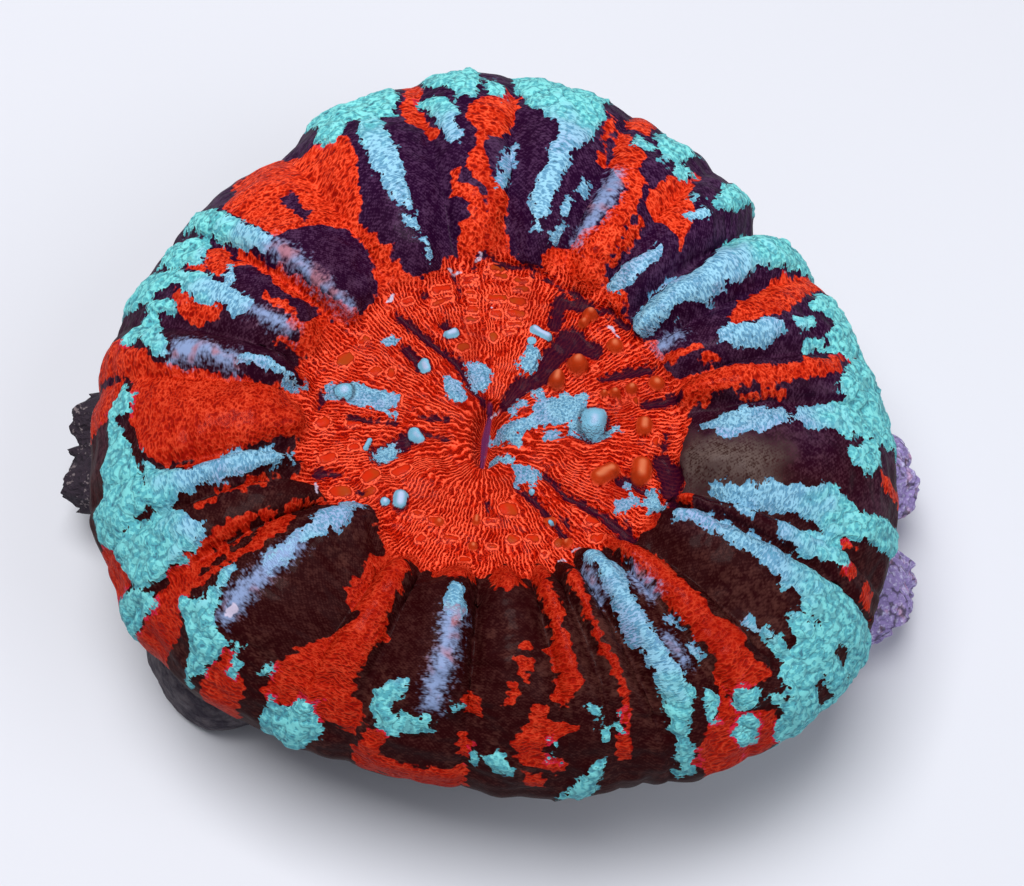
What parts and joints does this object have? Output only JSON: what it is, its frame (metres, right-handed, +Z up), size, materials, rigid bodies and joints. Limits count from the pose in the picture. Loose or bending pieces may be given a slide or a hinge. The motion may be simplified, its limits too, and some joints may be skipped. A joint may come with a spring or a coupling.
{
  "type": "scolymia coral",
  "caption": "Solitary fleshy coral: a soft polyp with swollen radial lobes around a flat oral disc and mouth slit, on a low ribbed stony skeleton cut flat to stand on.",
  "frame": {"origin": "middle of the object's box on the flat cut face that it rests on", "axes": "+Z up through the oral disc; +Y away from the side seen nearest in the picture; +X to that view's right"},
  "size_m": [0.0604, 0.0553, 0.0209],
  "materials": {
    "flesh": "wet satin flesh, orange-red, teal and dark plum bands",
    "stony_skeleton": "rough, crusty, pale lavender and grey-olive"
  },
  "bodies": {
    "root": {"polyp": "flesh", "skeleton": "stony_skeleton"}
  },
  "joints": []
}
